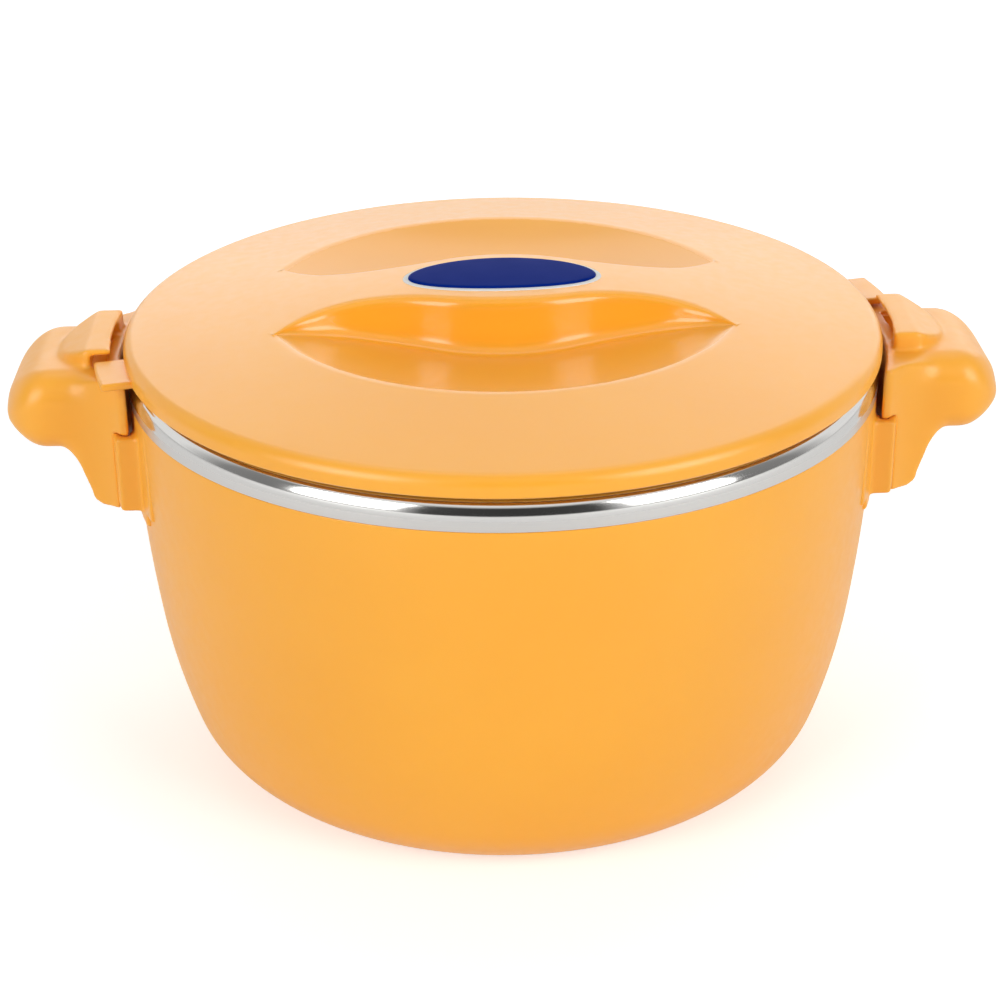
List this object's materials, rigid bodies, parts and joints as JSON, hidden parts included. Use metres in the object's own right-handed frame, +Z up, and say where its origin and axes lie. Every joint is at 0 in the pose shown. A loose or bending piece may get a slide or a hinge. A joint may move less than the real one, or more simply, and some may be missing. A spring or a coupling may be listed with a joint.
{
  "type": "insulated bread casserole",
  "caption": "Insulated serving pot with a steel bowl, two hollow slide-on handles and a foam-filled twist-lock lid with a recessed grip bar.",
  "frame": {"origin": "on the table, under the middle of the pot", "axes": "+Z up, X through the two handles, -Y towards the viewer"},
  "size_m": [0.346, 0.26, 0.1733],
  "materials": {
    "shell_plastic": "soft satin moulded polypropylene",
    "lid_plastic": "satin moulded polypropylene, glossier inside the finger recesses",
    "bowl_steel": "polished stainless steel, brushed inside",
    "pan_steel": "spun stainless steel",
    "foam": "rigid polyurethane foam, hidden",
    "seal_silicone": "translucent pale silicone",
    "badge_pale": "gloss white border",
    "badge_blue": "gloss deep blue"
  },
  "bodies": {
    "pot": {"outer_shell": "shell_plastic", "steel_bowl": "bowl_steel", "pot_foam": "foam", "foam_plug": "shell_plastic", "handle_left": "shell_plastic", "handle_right": "shell_plastic"},
    "seal": {"lid_seal": "seal_silicone"},
    "lid": {"lid_cover": "lid_plastic", "lid_clamp_ring": "lid_plastic", "lid_inner_pan": "pan_steel", "lid_foam": "foam", "badge_border": "badge_pale", "badge_face": "badge_blue"}
  },
  "joints": [
    {"name": "lid_lift", "type": "slide", "parent": "pot", "child": "seal", "axis": [0, 0, 1], "range_m": [0, 0.12]},
    {"name": "lid_turn", "type": "hinge", "parent": "seal", "child": "lid", "pos_m": [0, 0, 0.1495], "axis": [0, 0, 1], "range_deg": [-13.5, 0]}
  ]
}
